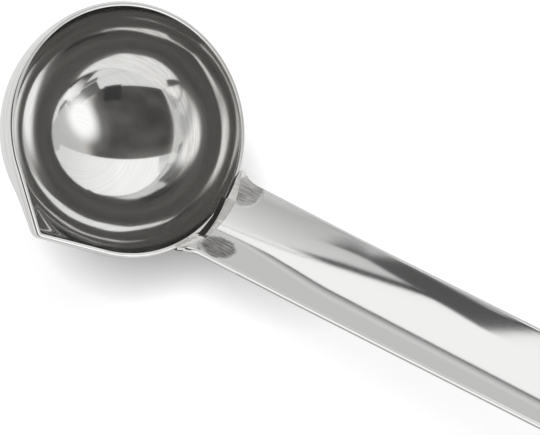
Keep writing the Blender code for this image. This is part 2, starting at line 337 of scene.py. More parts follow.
# Hairlines and marks scatter a little of the light, which keeps the darkest reflections from going
# black, and the marks scatter the most
haze = add_node(
    tree, "ShaderNodeBsdfAnisotropic",
    {"Color": linear(POLISHED_COLOUR), "Roughness": 0.42, "Normal": relief.outputs[0]})
haze_share = add_node(
    tree, "ShaderNodeMapRange",
    {"Value": mark_share.outputs[0], "From Max": MARK_STRENGTH, "To Min": 0.02, "To Max": 0.14})
hazy = add_node(
    tree, "ShaderNodeMixShader",
    {0: haze_share.outputs[0], 1: shader.outputs[0], 2: haze.outputs[0]})
tree.links.new(hazy.outputs[0], tree.nodes["Material Output"].inputs["Surface"])
bowl.data.materials.append(bowl_steel)
lay_down(bowl, "bowl")


# The handle: a strip of stainless, pressed to a shallow trough so that it is stiff. Its root is
# flared and follows the bowl's lip; its far end is arched back, with rounded corners and a slot
# to hang it by. It is polished along its length, and ground by hand beside the weld.

HANDLE_WIDTH = 33.0 * MM
HANDLE_THICKNESS = 1.9 * MM
HANDLE_DISH = 1.4 * MM
HANDLE_RISE = math.radians(50.3)
HANDLE_STRAIGHT = 166.0 * MM
HANDLE_ARCH_LENGTH = 112.0 * MM
HANDLE_ARCH_RADIUS = 150.0 * MM
HANDLE_EDGE_ROUNDING = 1.1 * MM
HANDLE_LOWER_ROUNDING = 0.45 * MM
END_CORNER_RADIUS = 11.0 * MM
ROOT_FLARE = 2.4 * MM
ROOT_FLARE_RADIUS = 12.0 * MM
ROOT_BLEND = 60.0 * MM
SLOT_WIDTH = 9.0 * MM
SLOT_LENGTH = 24.0 * MM
SLOT_TO_END = 12.0 * MM
SLOT_CUTTER_DEPTH = 8.0 * MM
# The strip was welded on a little to one side of the bowl's middle
HANDLE_OFFSET = 0.9 * MM

HANDLE_LENGTH = HANDLE_STRAIGHT + HANDLE_ARCH_LENGTH
HALF_WIDTH = HANDLE_WIDTH / 2.0
FLARE_LENGTH = math.sqrt(ROOT_FLARE_RADIUS ** 2 - (ROOT_FLARE_RADIUS - ROOT_FLARE) ** 2)
# The columns and the row along the strip's edges are this wide, which leaves room for the rounding
EDGE_COLUMN = 1.3 * MM
STRIP_COLUMNS = 64
ROOT_ROWS = 60
ROOT_LENGTH = 24.0 * MM
MIDDLE_ROWS = 150


def half_width_at(station):
    """Half the strip's width: flared into the bowl, then parallel."""
    if station <= 0.0:
        return HALF_WIDTH + ROOT_FLARE
    if station < FLARE_LENGTH:
        across = FLARE_LENGTH - station
        return HALF_WIDTH + ROOT_FLARE_RADIUS - math.sqrt(ROOT_FLARE_RADIUS ** 2 - across ** 2)
    return HALF_WIDTH


def round_corner(station, across):
    """Bend the rows and columns of the strip's two end corners to quarter circles."""
    past_start = (station - (HANDLE_LENGTH - END_CORNER_RADIUS)) / END_CORNER_RADIUS
    past_side = (abs(across) - (HALF_WIDTH - END_CORNER_RADIUS)) / END_CORNER_RADIUS
    if past_start <= 0.0 or past_side <= 0.0:
        return station, across
    shrink = max(past_start, past_side) / math.hypot(past_start, past_side)
    station += (shrink - 1.0) * past_start * END_CORNER_RADIUS
    across -= math.copysign((1.0 - shrink) * past_side * END_CORNER_RADIUS, across)
    return station, across


def lip_sagitta(across):
    """How far the bowl's lip has curved back at a distance across the handle."""
    return BOWL_RADIUS - math.sqrt(BOWL_RADIUS ** 2 - across ** 2)


def dish_at(station, across):
    """How far the strip's edges stand above its middle. The root follows the curve of the bowl."""
    round_root = math.sin(HANDLE_RISE) * lip_sagitta(across)
    plain = HANDLE_DISH * (across / HALF_WIDTH) ** 2
    share = min(max(station / ROOT_BLEND, 0.0), 1.0)
    share = share * share * (3.0 - 2.0 * share)
    return round_root + (plain - round_root) * share


def path_at(station):
    """Position and direction of the strip's middle line, as x, z and the angle of rise."""
    straight = min(station, HANDLE_STRAIGHT)
    x = BOWL_RADIUS + straight * math.cos(HANDLE_RISE)
    z = straight * math.sin(HANDLE_RISE)
    if station <= HANDLE_STRAIGHT:
        return x, z, HANDLE_RISE
    rise = HANDLE_RISE - (station - HANDLE_STRAIGHT) / HANDLE_ARCH_RADIUS
    x += HANDLE_ARCH_RADIUS * (math.sin(HANDLE_RISE) - math.sin(rise))
    z += HANDLE_ARCH_RADIUS * (math.cos(rise) - math.cos(HANDLE_RISE))
    return x, z, rise


def strip_point(station, across, lift=0.0):
    """A point of the strip, lift above its upper face, on the side of the bowl's mouth."""
    x, z, rise = path_at(station)
    lift += dish_at(station, across)
    return Vector((x - lift * math.sin(rise), across + HANDLE_OFFSET, z + lift * math.cos(rise)))


def evenly(first, last, count):
    """That many even steps from the first place on, without the last."""
    return [first + (last - first) * number / count for number in range(count)]


stations = evenly(0.0, ROOT_LENGTH, ROOT_ROWS)
stations += evenly(ROOT_LENGTH, HANDLE_LENGTH - EDGE_COLUMN, MIDDLE_ROWS)
stations += [HANDLE_LENGTH - EDGE_COLUMN, HANDLE_LENGTH]

# Two shallow hollows that the grinding wheel left at the root, as middle along and across, half
# length, half width and depth
GRINDING_HOLLOWS = [
    (3.9 * MM, 13.3 * MM, 6.4 * MM, 6.4 * MM, 0.32 * MM),
    (9.4 * MM, -10.8 * MM, 7.4 * MM, 4.9 * MM, 0.12 * MM)]


def hollow_at(station, across):
    """How deep the strip is ground there: a shallow bowl shape in each hollow."""
    depth = 0.0
    for middle, side, half_length, half_width, deepest in GRINDING_HOLLOWS:
        reach = math.hypot((station - middle) / half_length, (across - side) / half_width)
        depth = max(depth, deepest * (1.0 - reach ** 2))
    return depth


start_clean()
bpy.ops.mesh.primitive_grid_add(
    x_subdivisions=STRIP_COLUMNS, y_subdivisions=len(stations) - 1, size=2.0)
handle = bpy.context.active_object
handle.name = "strip_handle"
strip_map = handle.data.uv_layers.active
strip_map.name = "along_the_strip"
on_strip = []
for vert in handle.data.vertices:
    column = round((vert.co.x + 1.0) / 2.0 * STRIP_COLUMNS)
    row = round((vert.co.y + 1.0) / 2.0 * (len(stations) - 1))
    station = stations[row]
    half_width = half_width_at(station)
    if column in (0, STRIP_COLUMNS):
        across = math.copysign(half_width, vert.co.x)
    else:
        across = (2.0 * (column - 1) / (STRIP_COLUMNS - 2) - 1.0) * (half_width - EDGE_COLUMN)
    station, across = round_corner(station, across)
    # The first rows follow the lip's arc, which curves back towards the strip's corners
    share = max(1.0 - station / ROOT_LENGTH, 0.0)
    station -= share * lip_sagitta(across) * math.cos(HANDLE_RISE)
    on_strip.append((station, across))
    vert.co = strip_point(station, across)
for loop in handle.data.loops:
    strip_map.data[loop.index].uv = on_strip[loop.vertex_index]

if handle.data.polygons[0].normal.z < 0.0:
    handle.data.flip_normals()
thicken(handle, HANDLE_THICKNESS)

# Only the upper face is ground hollow. The lower face repeats its points in the same order
for vert in handle.data.vertices:
    station, across = on_strip[vert.index % len(on_strip)]
    if (vert.co - strip_point(station, across)).length < HANDLE_THICKNESS / 2.0:
        vert.co = strip_point(station, across, -hollow_at(station, across))

SHARP_ANGLE = math.radians(50)
SQUARE_ROOT_LENGTH = 1.2 * MM


def strip_edge(edge, upper):
    """True for the square edges of the strip's upper or lower face, but not where it meets the bowl."""
    if len(edge.link_faces) != 2 or edge.calc_face_angle() < SHARP_ANGLE:
        return False
    middle = (edge.verts[0].co + edge.verts[1].co) / 2.0
    faces_up = max(face.normal.z for face in edge.link_faces) > 0.5
    return faces_up == upper and middle.length > BOWL_RADIUS + SQUARE_ROOT_LENGTH


edit(handle)
bevel_edges(handle, lambda edge: strip_edge(edge, False), HANDLE_LOWER_ROUNDING, 3)
bevel_edges(handle, lambda edge: strip_edge(edge, True), HANDLE_EDGE_ROUNDING, 6)
bpy.ops.object.mode_set(mode="OBJECT")

# The hanging slot is punched through: a round punch, pulled out along the strip
slot_x, slot_z, slot_rise = path_at(HANDLE_LENGTH - SLOT_TO_END - SLOT_LENGTH / 2.0)
start_clean()
bpy.ops.mesh.primitive_cylinder_add(
    vertices=48, radius=SLOT_WIDTH / 2.0, depth=SLOT_CUTTER_DEPTH)
slot_cutter = bpy.context.active_object
for vert in slot_cutter.data.vertices:
    vert.co.x += math.copysign((SLOT_LENGTH - SLOT_WIDTH) / 2.0, vert.co.x)
slot_cutter.data.transform(
    Matrix.Translation((slot_x, HANDLE_OFFSET, slot_z)) @ Matrix.Rotation(-slot_rise, 4, "Y"))
slot_cut = handle.modifiers.new("slot", "BOOLEAN")
slot_cut.operation = "DIFFERENCE"
slot_cut.object = slot_cutter
apply_modifier(handle, slot_cut)
bpy.data.objects.remove(slot_cutter)


def streaks(tree, strip_place, length, spacing, detail, roughness):
    """Noise drawn out along the strip, into streaks so long and so far apart."""
    stretched = add_node(
        tree, "ShaderNodeMapping",
        {0: strip_place.outputs[0], "Scale": (1.0 / length, 1.0 / spacing, 1.0)})
    return add_node(
        tree, "ShaderNodeTexNoise",
        {"Vector": stretched.outputs[0], "Scale": 1.0, "Detail": detail, "Roughness": roughness})


# Stainless strip, polished along its length with a fine belt: a mirror with straight grain. The
# grain of a 320 grit belt is 0.05 mm apart, and is drawn 0.35 mm apart so that it shows
GRAIN_LENGTH = 25.0 * MM
GRAIN_SPACING = 0.35 * MM
GRAIN_RELIEF = 0.0012 * MM
BELT_ROUGHNESS = 0.05
handle_steel, tree, shader = new_steel("belt_polished_stainless", POLISHED_COLOUR, BELT_ROUGHNESS)
strip_place = add_node(tree, "ShaderNodeUVMap", uv_map="along_the_strip")
grain = streaks(tree, strip_place, GRAIN_LENGTH, GRAIN_SPACING, 4.0, 0.65)
relief = add_node(
    tree, "ShaderNodeBump",
    {"Height": grain.outputs[0], "Distance": GRAIN_RELIEF, "Strength": 1.0})

# Where the grinding wheel has been, the steel is duller, with coarse scratches, and its colour is darkened
# with painted shade. The tones are those of each hollow's scratches, the darker and the lighter
SCRATCH_LENGTH = 7.0 * MM
SCRATCH_SPACING = 0.35 * MM
SCRATCH_RELIEF = 0.012 * MM
GROUND_ROUGHNESS = 0.2
SCRATCH_AND_PAINTED_SHADE_TONES = [("#949391", "#DEDDDB"), ("#484746", "#CFCECC")]
# The border of each ground patch wanders. The noise for that is a half on average, so the patch is
# moved back by half the wander. It fades between these shares of the hollow's size
BORDER_WANDER = 1.6 * MM
BORDER_PITCH = 3.0 * MM
FADE_START, FADE_END = 0.78, 1.06
scratches = streaks(tree, strip_place, SCRATCH_LENGTH, SCRATCH_SPACING, 3.0, 0.7)
wander = add_node(
    tree, "ShaderNodeTexNoise",
    {"Vector": strip_place.outputs[0], "Scale": 1.0 / BORDER_PITCH, "Detail": 2.0})
wandering = add_node(
    tree, "ShaderNodeVectorMath",
    {0: wander.outputs[1], 1: (BORDER_WANDER, BORDER_WANDER, 0.0), 2: strip_place.outputs[0]},
    operation="MULTIPLY_ADD")
ground = 0.0
tone = linear(POLISHED_COLOUR)
for hollow, (darker, lighter) in zip(GRINDING_HOLLOWS, SCRATCH_AND_PAINTED_SHADE_TONES):
    middle, side, half_length, half_width = hollow[:4]
    patch = add_node(
        tree, "ShaderNodeMapping",
        {0: wandering.outputs[0],
         "Location": (-(middle + BORDER_WANDER / 2.0) / half_length,
                      -(side + BORDER_WANDER / 2.0) / half_width, 0.0),
         "Scale": (1.0 / half_length, 1.0 / half_width, 0.0)})
    reach = add_node(tree, "ShaderNodeVectorMath", {0: patch.outputs[0]}, operation="LENGTH")
    inside = add_node(
        tree, "ShaderNodeMapRange",
        {"Value": reach.outputs["Value"], "From Min": FADE_START, "From Max": FADE_END,
         "To Min": 1.0, "To Max": 0.0},
        interpolation_type="SMOOTHSTEP")
    either = add_node(
        tree, "ShaderNodeMath", {0: ground, 1: inside.outputs[0]}, operation="MAXIMUM")
    ground = either.outputs[0]
    # The darker tone of each hollow's scratches is painted shade, nearly black in the second hollow
    scratch_and_painted_shade_tone = add_node(
        tree, "ShaderNodeValToRGB", {0: scratches.outputs[0]},
        steps=((0.36, linear(darker)), (0.66, linear(lighter))))
    patched = add_node(
        tree, "ShaderNodeMix", {0: inside.outputs[0], 6: tone, 7: scratch_and_painted_shade_tone.outputs[0]},
        data_type="RGBA")
    tone = patched.outputs[2]
tree.links.new(tone, shader.inputs["Base Color"])
dullness = add_node(
    tree, "ShaderNodeMapRange",
    {"Value": ground, "To Min": BELT_ROUGHNESS, "To Max": GROUND_ROUGHNESS})
tree.links.new(dullness.outputs[0], shader.inputs["Roughness"])
scratch_height = add_node(
    tree, "ShaderNodeMath", {0: ground, 1: scratches.outputs[0]}, operation="MULTIPLY")
coarse_relief = add_node(
    tree, "ShaderNodeBump",
    {"Height": scratch_height.outputs[0], "Distance": SCRATCH_RELIEF, "Strength": 1.0,
     "Normal": relief.outputs[0]})
tree.links.new(coarse_relief.outputs[0], shader.inputs["Normal"])
handle.data.materials.append(handle_steel)


def roughen(tree, shader, spacing, depth, detail):
    """Cover a steel with fine marks, so far apart and so deep, and give back their pattern."""
    place = add_node(tree, "ShaderNodeTexCoord")
    marks = add_node(
        tree, "ShaderNodeTexNoise",
        {"Vector": place.outputs["Object"], "Scale": 1.0 / spacing, "Detail": detail,
         "Roughness": 0.6})
    relief = add_node(
        tree, "ShaderNodeBump", {"Height": marks.outputs[0], "Distance": depth, "Strength": 1.0})
    tree.links.new(relief.outputs[0], shader.inputs["Normal"])
    return marks


# The sheared sides of the strip: torn steel, duller than the faces, and coloured darker with painted
# shade. A face is on a side where its normal points this far sideways
SHEAR_MARKS = 0.25 * MM
SHEAR_RELIEF = 0.01 * MM
SIDEWAYS = 0.93
# The side's darker grey is painted shade, for the dark line along the strip's lower edge
sheared_steel_painted_shade, tree, shader = new_steel("sheared_stainless_painted_shade", "#B4B3B1", 0.25)
roughen(tree, shader, SHEAR_MARKS, SHEAR_RELIEF, 2.0)
handle.data.materials.append(sheared_steel_painted_shade)
for face in handle.data.polygons:
    if abs(face.normal.y) > SIDEWAYS:
        face.material_index = 1
lay_down(handle, "handle")


# The seam weld: a run of stainless weld metal along the lip, where the strip meets the bowl. It is
# ground to a flat band by hand, and dulled by the grinder and by heat. The strip's square end
# stands up out of it, as it was sawn.

WELD_HALF_ANGLE = math.radians(24.3)
WELD_COLUMNS = 140
WELD_ROWS = 10
WELD_SHELL = 0.5 * MM
# The band is crowned in the middle, and its far edge lies this much above the strip
SEAM_CROWN = 0.1 * MM
SEAM_LIFT = 0.04 * MM
# The grinder leaves it uneven by this much, with so many waves in a radian, and from lip to strip
SEAM_WAVE = 0.06 * MM
SEAM_WAVES_ALONG = 40.0
SEAM_WAVES_ACROSS = 1.5
# The strip's square end stands on the lip, a little askew. For bearings in degrees from the
# handle's middle towards the spout, in millimetres: radius of the foot of that end, radius and
# height of its top, and how far beyond the lip the ground weld reaches up the strip
SEAM_LINES = [
    (-24.3, 44.6, 44.8, 0.1, 0.1), (-21.0, 43.6, 44.1, 0.5, 0.6), (-18.5, 43.5, 44.1, 0.7, 1.3),
    (-10.4, 43.4, 43.9, 1.2, 2.8), (-9.8, 42.3, 43.3, 1.9, 2.85), (0.0, 43.5, 44.5, 2.4, 3.3),
    (10.6, 44.3, 46.0, 2.6, 3.2), (11.6, 44.0, 45.2, 1.6, 3.0), (13.0, 43.5, 44.3, 0.4, 2.7),
    (17.0, 43.4, 44.0, 0.1, 2.2), (24.3, 43.5, 44.1, 0.1, 1.0)]
# The share of the way across that the square end takes, with what a row may miss it by and still
# count as its top, and the bearing where the end stops
END_SHARE = 0.3
END_TOLERANCE = 0.01
END_LIMIT = math.radians(11.8)


def seam_line_at(bearing, column):
    """One column of SEAM_LINES at a bearing, straight between its rows, in metres."""
    for low, high in zip(SEAM_LINES, SEAM_LINES[1:]):
        if bearing <= high[0]:
            share = max(bearing - low[0], 0.0) / (high[0] - low[0])
            return (low[column] + (high[column] - low[column]) * share) * MM
    return SEAM_LINES[-1][column] * MM


def level_point(bearing, radius, height):
    """A point round the bowl's axis, at a height above its mouth."""
    return Vector((radius * math.cos(bearing), -radius * math.sin(bearing), height))


def strip_beside_lip(bearing, outwards, lift=0.0):
    """A point of the strip, so far from the lip's outer edge at that bearing."""
    across = -BOWL_RADIUS * math.sin(bearing)
    return strip_point(outwards - lip_sagitta(across) * math.cos(HANDLE_RISE), across, lift)


def seam_section(bearing, share):
    """The seam's outer face: up the strip's square end, then along the ground band."""
    turn = math.degrees(bearing)
    foot = level_point(bearing, seam_line_at(turn, 1), 0.0)
    top = level_point(bearing, seam_line_at(turn, 2), seam_line_at(turn, 3))
    if share <= END_SHARE + END_TOLERANCE:
        return foot + (top - foot) * share / END_SHARE
    share = (share - END_SHARE) / (1.0 - END_SHARE)
    far = strip_beside_lip(bearing, seam_line_at(turn, 4), SEAM_LIFT)
    far.z -= hollow_at(0.0, far.y)
    run = far - top
    upwards = Vector((-run.z, 0.0, run.x)).normalized()
    waves = Vector((bearing * SEAM_WAVES_ALONG, share * SEAM_WAVES_ACROSS, 0.0))
    wander = SEAM_WAVE * noise.noise(waves)
    return top + run * share + upwards * (SEAM_CROWN + wander) * 4.0 * share * (1.0 - share)


def on_square_end(bearing, share):
    """True for the part of the seam that is the strip's square end."""
    return share < END_SHARE and bearing < END_LIMIT


def lay_weld(name, section, outer_side, second_finish=None):
    """A thin closed run, its outer face given by section(bearing, share of the way across).

    Where second_finish(bearing, share) is true, a face takes the run's second material.
    """
    start_clean()
    bpy.ops.mesh.primitive_grid_add(x_subdivisions=WELD_COLUMNS, y_subdivisions=WELD_ROWS, size=2.0)
    made = bpy.context.active_object
    made.name = name
    if second_finish:
        for face in made.data.polygons:
            if second_finish(face.center.x * WELD_HALF_ANGLE, (face.center.y + 1.0) / 2.0):
                face.material_index = 1
    for vert in made.data.vertices:
        vert.co = section(vert.co.x * WELD_HALF_ANGLE, (vert.co.y + 1.0) / 2.0)
    face_across = made.data.polygons[WELD_COLUMNS * WELD_ROWS * 3 // 4]
    if face_across.normal.dot(outer_side) < 0.0:
        made.data.flip_normals()
    thicken(made, WELD_SHELL, even=False)
    return made


seam = lay_weld("seam_run", seam_section, Vector((0.0, 0.0, 1.0)), on_square_end)

# Hand-ground stainless: a soft grey sheen, with fine scratches across the run
SEAM_SCRATCH_SPACING = 0.25 * MM
SEAM_SCRATCH_RELIEF = 0.004 * MM
weld_steel, tree, shader = new_steel("hand_ground_stainless", "#D6D5D2", 0.24)
fine = roughen(tree, shader, SEAM_SCRATCH_SPACING, SEAM_SCRATCH_RELIEF, 3.0)
ground_tone = add_node(
    tree, "ShaderNodeValToRGB", {0: fine.outputs[0]},
    steps=((0.3, linear("#B9B8B5")), (0.7, linear("#E2E1DE"))))
tree.links.new(ground_tone.outputs[0], shader.inputs["Base Color"])
seam.data.materials.append(weld_steel)

# Sawn stainless, for the strip's square end, coloured nearly black: a painted reflection of the bowl's dark
# inside
SAW_MARKS = 0.25 * MM
SAW_RELIEF = 0.02 * MM
sawn_steel_painted_reflection, tree, shader = new_steel("sawn_stainless_painted_reflection", "#4A4948", 0.4)
roughen(tree, shader, SAW_MARKS, SAW_RELIEF, 2.0)
seam.data.materials.append(sawn_steel_painted_reflection)
lay_down(seam, "seam_weld")


# The root weld: a rounded run of the same weld metal beneath, in the corner between the bowl's wall
# and the strip. It isn't ground flat, so the ripples in which the metal was laid still show.

# The run reaches this far down the bowl's wall from the lip, as an angle, and this far up the strip
ROOT_FOOT = math.radians(5.6)
ROOT_HEAD = 2.4 * MM
ROOT_CROWN = 0.5 * MM
ROOT_RIPPLE = 0.06 * MM
ROOT_RIPPLE_PITCH = 1.6 * MM
# How far a ripple bows along the run in its middle, in pitches
ROOT_RIPPLE_BOW = 0.25


def root_section(bearing, share):
    """The root's outer face: an arch from the bowl's wall to the strip, with bowed ripples."""
    level = BOWL_RADIUS * math.cos(ROOT_FOOT)
    low = level_point(bearing, level, -BOWL_RADIUS * math.sin(ROOT_FOOT))
    high = strip_beside_lip(bearing, ROOT_HEAD, -HANDLE_THICKNESS)
    arch = 4.0 * share * (1.0 - share)
    pitches = bearing * BOWL_RADIUS / ROOT_RIPPLE_PITCH + arch * ROOT_RIPPLE_BOW
    ripple = ROOT_RIPPLE * math.sin(2.0 * math.pi * pitches)
    run = high - low
    outwards = Vector((run.z, 0.0, -run.x)).normalized()
    return low + run * share + outwards * (ROOT_CROWN + ripple) * arch


root = lay_weld("root_run", root_section, Vector((1.0, 0.0, -1.0)))
root.data.materials.append(weld_steel)
lay_down(root, "root_weld")


# The studio: a white table, one large softbox overhead, a bare lamp to the right, pale walls and a
# dark room behind the camera. The cards stand only in the metal's reflections.

# The camera looks steeply down into the bowl, from so far off that parallel lines stay parallel. What
# it looks at is to the right of the mouth's centre and below it, because the handle leaves the frame
CAMERA_BACK = Vector((0.4413, -0.3462, 0.8279)).normalized()
CAMERA_RIGHT = Vector((0.7825, 0.6001, -0.1661)).normalized()
CAMERA_UP = CAMERA_BACK.cross(CAMERA_RIGHT).normalized()
CAMERA_DISTANCE = 3.0
SENSOR_WIDTH = 36.0
FRAME_WIDTH = 188.4 * MM
LOOK_RIGHT, LOOK_DOWN = 49.29 * MM, 30.73 * MM
LOOK_AT = MOUTH_CENTRE + LOOK_RIGHT * CAMERA_RIGHT - LOOK_DOWN * CAMERA_UP

camera_data = bpy.data.cameras.new("camera")
camera = bpy.data.objects.new("camera", camera_data)
bpy.context.scene.collection.objects.link(camera)
camera_data.sensor_width = SENSOR_WIDTH
camera_data.lens = SENSOR_WIDTH * CAMERA_DISTANCE / FRAME_WIDTH
camera_data.clip_end = 100.0
camera_turn = Matrix((CAMERA_RIGHT, CAMERA_UP, CAMERA_BACK)).transposed().to_4x4()
camera.matrix_world = Matrix.Translation(LOOK_AT + CAMERA_DISTANCE * CAMERA_BACK) @ camera_turn
bpy.context.scene.camera = camera
bpy.context.scene.view_settings.view_transform = "Standard"


def card(name, corners, strength=1.0, hex_colour="#FFFFFF"):
    """A flat glowing card between four corners, which only the metal reflects. It has its own UVs."""
    material = bpy.data.materials.new(name)
    material.use_nodes = True
    tree = material.node_tree
    tree.nodes.remove(tree.nodes["Principled BSDF"])
    light = add_node(
        tree, "ShaderNodeEmission", {"Color": linear(hex_colour), "Strength": strength})
    tree.links.new(light.outputs[0], tree.nodes["Material Output"].inputs["Surface"])
    start_clean()
    bpy.ops.mesh.primitive_plane_add(size=1.0)
    made = bpy.context.active_object
    made.name = name
    for vert, corner in zip(made.data.vertices, corners):
        vert.co = corner
    made.data.materials.append(material)
    made.visible_camera = False
    made.visible_diffuse = False
    made.visible_transmission = False
    made.visible_volume_scatter = False
    made.visible_shadow = False
    return tree, light


def grade(tree, light, direction, steps):
    """Vary a card's strength from left to right (0) or from near to far (1), by steps along it."""
    own_place = add_node(tree, "ShaderNodeTexCoord")
    split = add_node(tree, "ShaderNodeSeparateXYZ", {0: own_place.outputs["UV"]})
    glow = add_node(
        tree, "ShaderNodeValToRGB", {0: split.outputs[direction]},
        steps=[(place, (strength, strength, strength, 1.0)) for place, strength in steps])
    tree.links.new(glow.outputs[0], light.inputs["Strength"])


# The softbox hangs level, with its front edge square to the camera. Its back is of black cloth, a
# little larger than the light
SOFTBOX_HEIGHT = 0.8
SOFTBOX_LEFT, SOFTBOX_RIGHT = -0.338, 0.75
SOFTBOX_FRONT, SOFTBOX_BACK = 0.02, 0.86
SOFTBOX_RADIANCE = 0.98
CLOTH_LEFT, CLOTH_BACK = -0.348, 0.88
BLACK_CLOTH = 0.03
along_softbox = Vector((CAMERA_RIGHT.x, CAMERA_RIGHT.y, 0.0)).normalized()
across_softbox = Vector((-along_softbox.y, along_softbox.x, 0.0))


def hung(height, places):
    """Points at a height above the table, given by how far along and across the softbox they are."""
    return [along_softbox * x + across_softbox * y + Vector((0.0, 0.0, height)) for x, y in places]


def overhead(left, right, front, back, height):
    """Corners of a level card between those bounds."""
    return hung(height, ((left, front), (right, front), (left, back), (right, back)))


softbox_corners = overhead(SOFTBOX_LEFT, SOFTBOX_RIGHT, SOFTBOX_FRONT, SOFTBOX_BACK, SOFTBOX_HEIGHT)
softbox_centre = sum(softbox_corners, Vector()) / 4.0
softbox_turn = Matrix((along_softbox, across_softbox, Vector((0.0, 0.0, 1.0)))).transposed().to_4x4()
softbox_data = bpy.data.lights.new("softbox", "AREA")
softbox_data.shape = "RECTANGLE"
softbox_data.size = SOFTBOX_RIGHT - SOFTBOX_LEFT
softbox_data.size_y = SOFTBOX_BACK - SOFTBOX_FRONT
softbox_data.energy = SOFTBOX_RADIANCE * math.pi * softbox_data.size * softbox_data.size_y
softbox = bpy.data.objects.new("softbox", softbox_data)
bpy.context.scene.collection.objects.link(softbox)
softbox.matrix_world = Matrix.Translation(softbox_centre) @ softbox_turn
softbox.visible_camera = False
card("softbox_back",
     overhead(CLOTH_LEFT, SOFTBOX_RIGHT, SOFTBOX_FRONT, CLOTH_BACK, SOFTBOX_HEIGHT + 0.01), BLACK_CLOTH)

# Its frame shows on the left, where the middle of it is black
FRAME_LEFT, FRAME_RIGHT = -0.354, -0.339
tree, light = card(
    "softbox_frame",
    overhead(FRAME_LEFT, FRAME_RIGHT, SOFTBOX_FRONT, CLOTH_BACK, SOFTBOX_HEIGHT - 0.003))
grade(tree, light, 1, [
    (0.0, 0.86), (0.38, 0.86), (0.45, BLACK_CLOTH), (0.735, BLACK_CLOTH), (0.785, 0.9)])

# Its grey flap hangs at the back, with the wall beyond it. The flap's near edge runs from a steep
# part on the left to a straight one, and these are its bends, along and across the softbox
FLAP_EDGE = [(-0.36, 1.23), (-0.295, 0.84), (-0.1, 0.726), (0.75, 0.726)]
FLAP_DEPTH = 0.12
REAR_WALL_DEPTH = 0.8
REAR_HEIGHT = 0.79


def behind(left, right, near, far):
    """Corners of a strip that runs from near to far behind the line between two places."""
    return hung(REAR_HEIGHT, [
        (place[0], place[1] + distance) for distance in (near, far) for place in (left, right)])


for part, left, right in zip(("steep", "slanting", "straight"), FLAP_EDGE, FLAP_EDGE[1:]):
    tree, light = card("softbox_rear_" + part, behind(left, right, 0.0, FLAP_DEPTH))
    grade(tree, light, 1, [
        (0.0, 0.08), (0.1, 0.1), (0.15, 0.27), (0.2, 0.36), (0.41, 0.56), (0.6, 0.69), (0.7, 0.68),
        (0.86, 0.6)])
    card("rear_wall_" + part, behind(left, right, FLAP_DEPTH, FLAP_DEPTH + REAR_WALL_DEPTH),
         strength=0.6)

# The lit corner between flap and frame, and the bracket that holds the softbox
card("softbox_corner", overhead(-0.34, -0.25, 0.85, 1.15, 0.795), SOFTBOX_RADIANCE)
card("softbox_bracket",
     hung(REAR_HEIGHT, ((-0.415, 0.446), (-0.33, 0.418), (-0.393, 0.524), (-0.29, 0.53))),
     strength=0.09)

# To the right the softbox's cloth hangs away from its lamp and dims, and the ceiling goes on from it
tree, light = card("dimming_ceiling", overhead(0.2, 3.0, SOFTBOX_FRONT, 2.0, SOFTBOX_HEIGHT - 0.004))
grade(tree, light, 0, [(0.0, 0.98), (0.09, 0.93), (0.18, 0.9), (0.3, 0.83), (0.61, 0.76)])

# The wall to the left, brighter close to the softbox
tree, light = card("left_wall", overhead(-1.6, -0.33, 0.1, 1.0, SOFTBOX_HEIGHT + 0.02))
grade(tree, light, 1, [(0.0, 0.76), (0.22, 0.76), (0.36, 0.5), (0.8, 0.86)])


def facing(distance, places):
    """Points in a plane that faces the camera, by their tangents right and up from its axis."""
    return [MOUTH_CENTRE + distance * (CAMERA_BACK + right * CAMERA_RIGHT + up * CAMERA_UP)
            for right, up in places]


# The dark room behind the camera, with dim shapes in it. It is lighter towards both its sides and in
# its upper left corner, where the lights reach it
ROOM_DISTANCE = 1.2
tree, light = card(
    "dark_room", facing(ROOM_DISTANCE, ((-1.19, -0.93), (0.98, -0.93), (-1.19, 0.5), (0.98, 0.56))),
    hex_colour="#FFFAF4")
room_place = add_node(tree, "ShaderNodeTexCoord")
room_split = add_node(tree, "ShaderNodeSeparateXYZ", {0: room_place.outputs["UV"]})
shapes = add_node(
    tree, "ShaderNodeTexNoise",
    {"Vector": room_place.outputs["UV"], "Scale": 3.2, "Detail": 2.0, "Roughness": 0.5})
shape_tone = add_node(
    tree, "ShaderNodeMapRange",
    {"Value": shapes.outputs[0], "From Min": 0.35, "From Max": 0.65, "To Min": 0.055, "To Max": 0.105})
left_fade = add_node(
    tree, "ShaderNodeMapRange",
    {"Value": room_split.outputs[0], "From Min": 0.2, "From Max": 0.0, "To Min": 0.0, "To Max": 0.35},
    interpolation_type="SMOOTHSTEP")
right_fade = add_node(
    tree, "ShaderNodeMapRange",
    {"Value": room_split.outputs[0], "From Min": 0.84, "From Max": 1.0, "To Min": 0.0, "To Max": 0.42},
    interpolation_type="SMOOTHSTEP")
top_fade = add_node(
    tree, "ShaderNodeMapRange",
    {"Value": room_split.outputs[1], "From Min": 0.84, "From Max": 1.0, "To Min": 0.0, "To Max": 0.16})
to_left = add_node(
    tree, "ShaderNodeMapRange",
    {"Value": room_split.outputs[0], "From Min": 0.05, "From Max": 0.65, "To Min": 1.0, "To Max": 0.15})
corner_glow = add_node(
    tree, "ShaderNodeMath", {0: top_fade.outputs[0], 1: to_left.outputs[0]}, operation="MULTIPLY")
room_tone = shape_tone
for fade in (left_fade, right_fade, corner_glow):
    room_tone = add_node(
        tree, "ShaderNodeMath", {0: room_tone.outputs[0], 1: fade.outputs[0]}, operation="ADD")
tree.links.new(room_tone.outputs[0], light.inputs["Strength"])
card("grey_room_side",
     facing(ROOM_DISTANCE + 0.01, ((0.98, -0.6), (6.0, -1.6), (0.98, 0.56), (6.0, 1.5))),
     strength=0.53)

